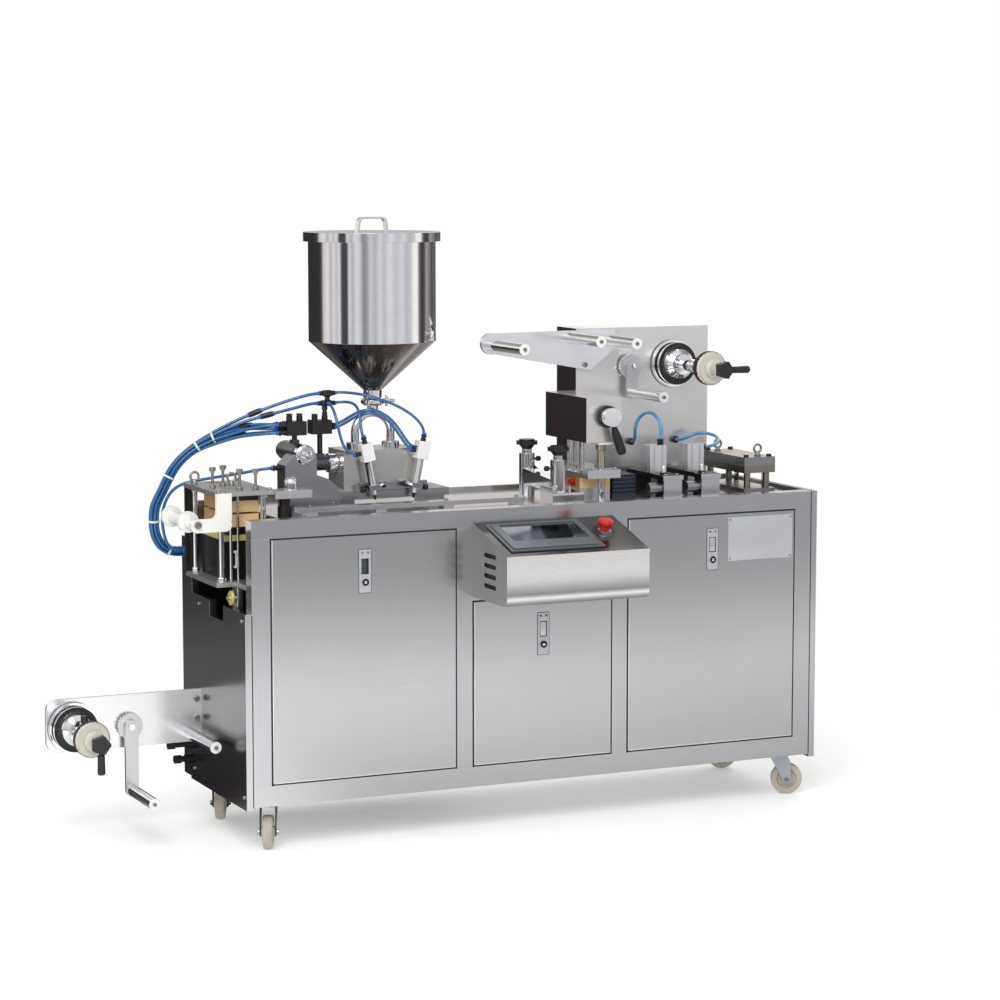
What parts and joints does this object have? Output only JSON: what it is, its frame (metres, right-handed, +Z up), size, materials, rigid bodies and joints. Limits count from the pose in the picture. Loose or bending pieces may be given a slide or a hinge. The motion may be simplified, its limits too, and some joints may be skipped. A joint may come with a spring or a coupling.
{
  "type": "blister packing machine",
  "caption": "Flat-bed blister packing machine on casters: forms, fills, seals and cuts film packs, with a conical hopper, film reels and a touch screen control box.",
  "frame": {"origin": "on the floor under the centre of the machine's box", "axes": "+X along the film's travel, +Y to the back, +Z up"},
  "size_m": [2.051, 0.7, 1.577],
  "materials": {
    "stainless": "brushed",
    "polished": "polished",
    "screen": "glossy",
    "black_plastic": "satin",
    "black_metal": "satin",
    "white_plastic": "matte",
    "red_plastic": "gloss",
    "board": "matte",
    "zinc": "plated",
    "anodised": "anodised",
    "hose": "gloss",
    "tool_steel": "ground"
  },
  "bodies": {
    "machine": {"front_posts": "stainless", "front_rails": "stainless", "doors": "stainless", "door_latches": "polished", "rear_panel": "stainless", "end_covers": "stainless", "bed_deck": "polished", "base_pan": "stainless", "control_box": "stainless", "screen_bezel": "white_plastic", "screen_glass": "screen", "forming_frame": "stainless", "forming_blocks": "black_metal", "insulation_boards": "board", "guide_posts": "polished", "guide_bracket": "white_plastic", "guide_roller": "white_plastic", "hold_down": "polished", "filler_bracket": "stainless", "filler_cylinders": "anodised", "filler_block": "polished", "nozzles": "polished", "nozzle_heads": "white_plastic", "air_valves": "black_plastic", "feed_pipe": "polished", "hopper": "polished", "film_rails": "polished", "film_clamp": "polished", "star_knobs": "black_plastic", "seal_head": "stainless", "seal_plates": "tool_steel", "tower": "stainless", "roller_arm": "stainless", "film_rollers": "polished", "traction_bridges": "black_metal", "traction_cylinders": "polished", "die_plates": "stainless", "die_shoe": "tool_steel", "reel_plate": "stainless", "hose_ports": "black_plastic", "hose_trunk": "hose", "hose_forming": "hose", "hose_nozzles": "hose", "hose_tower_left": "hose", "hose_tower_right": "hose"},
    "lid": {"hopper_lid": "polished"},
    "stop": {"stop_button": "red_plastic"},
    "lower_reel": {"lower_spindle": "polished"},
    "upper_reel": {"upper_spindle": "polished"},
    "lower_arm": {"lower_dancer": "polished"},
    "upper_arm": {"upper_dancer": "polished"},
    "lever": {"seal_lever": "black_plastic"},
    "fork_front_left": {"fork_front_left": "zinc"},
    "wheel_front_left": {"wheel_front_left": "white_plastic"},
    "fork_rear_left": {"fork_rear_left": "zinc"},
    "wheel_rear_left": {"wheel_rear_left": "white_plastic"},
    "fork_front_right": {"fork_front_right": "zinc"},
    "wheel_front_right": {"wheel_front_right": "white_plastic"},
    "fork_rear_right": {"fork_rear_right": "zinc"},
    "wheel_rear_right": {"wheel_rear_right": "white_plastic"}
  },
  "joints": [
    {"name": "lid_lift", "type": "slide", "parent": "machine", "child": "lid", "axis": [0, 0, 1], "range_m": [0, 0.3]},
    {"name": "stop_press", "type": "slide", "parent": "machine", "child": "stop", "axis": [0, 0.2832, -0.9591], "range_m": [0, 0.004]},
    {"name": "lower_reel_turn", "type": "hinge", "parent": "machine", "child": "lower_reel", "pos_m": [-0.9565, 0.203, 0.289], "axis": [0, 1, 0], "continuous": true},
    {"name": "upper_reel_turn", "type": "hinge", "parent": "machine", "child": "upper_reel", "pos_m": [0.7745, 0.23, 1.166], "axis": [0, 1, 0], "continuous": true},
    {"name": "lower_arm_swing", "type": "hinge", "parent": "machine", "child": "lower_arm", "pos_m": [-0.8085, 0.203, 0.283], "axis": [0, 1, 0], "range_deg": [-35, 35]},
    {"name": "upper_arm_swing", "type": "hinge", "parent": "machine", "child": "upper_arm", "pos_m": [0.6395, 0.23, 1.163], "axis": [0, 1, 0], "range_deg": [-30, 45]},
    {"name": "seal_lever_turn", "type": "hinge", "parent": "machine", "child": "lever", "pos_m": [0.4475, -0.02, 1.05], "axis": [0, 1, 0], "range_deg": [-40, 100]},
    {"name": "swivel_front_left", "type": "hinge", "parent": "machine", "child": "fork_front_left", "pos_m": [-0.5305, -0.078, 0.11], "axis": [0, 0, 1], "continuous": true},
    {"name": "roll_front_left", "type": "hinge", "parent": "fork_front_left", "child": "wheel_front_left", "pos_m": [-0.54107, -0.10175, 0.0425], "axis": [0.9135, -0.4067, 0], "continuous": true},
    {"name": "swivel_rear_left", "type": "hinge", "parent": "machine", "child": "fork_rear_left", "pos_m": [-0.5305, 0.288, 0.11], "axis": [0, 0, 1], "continuous": true},
    {"name": "roll_rear_left", "type": "hinge", "parent": "fork_rear_left", "child": "wheel_rear_left", "pos_m": [-0.54107, 0.26425, 0.0425], "axis": [0.9135, -0.4067, 0], "continuous": true},
    {"name": "swivel_front_right", "type": "hinge", "parent": "machine", "child": "fork_front_right", "pos_m": [0.9455, -0.078, 0.11], "axis": [0, 0, 1], "continuous": true},
    {"name": "roll_front_right", "type": "hinge", "parent": "fork_front_right", "child": "wheel_front_right", "pos_m": [0.96925, -0.08858, 0.0425], "axis": [0.4067, 0.9135, 0], "continuous": true},
    {"name": "swivel_rear_right", "type": "hinge", "parent": "machine", "child": "fork_rear_right", "pos_m": [0.9455, 0.288, 0.11], "axis": [0, 0, 1], "continuous": true},
    {"name": "roll_rear_right", "type": "hinge", "parent": "fork_rear_right", "child": "wheel_rear_right", "pos_m": [0.96925, 0.27742, 0.0425], "axis": [0.4067, 0.9135, 0], "continuous": true}
  ]
}
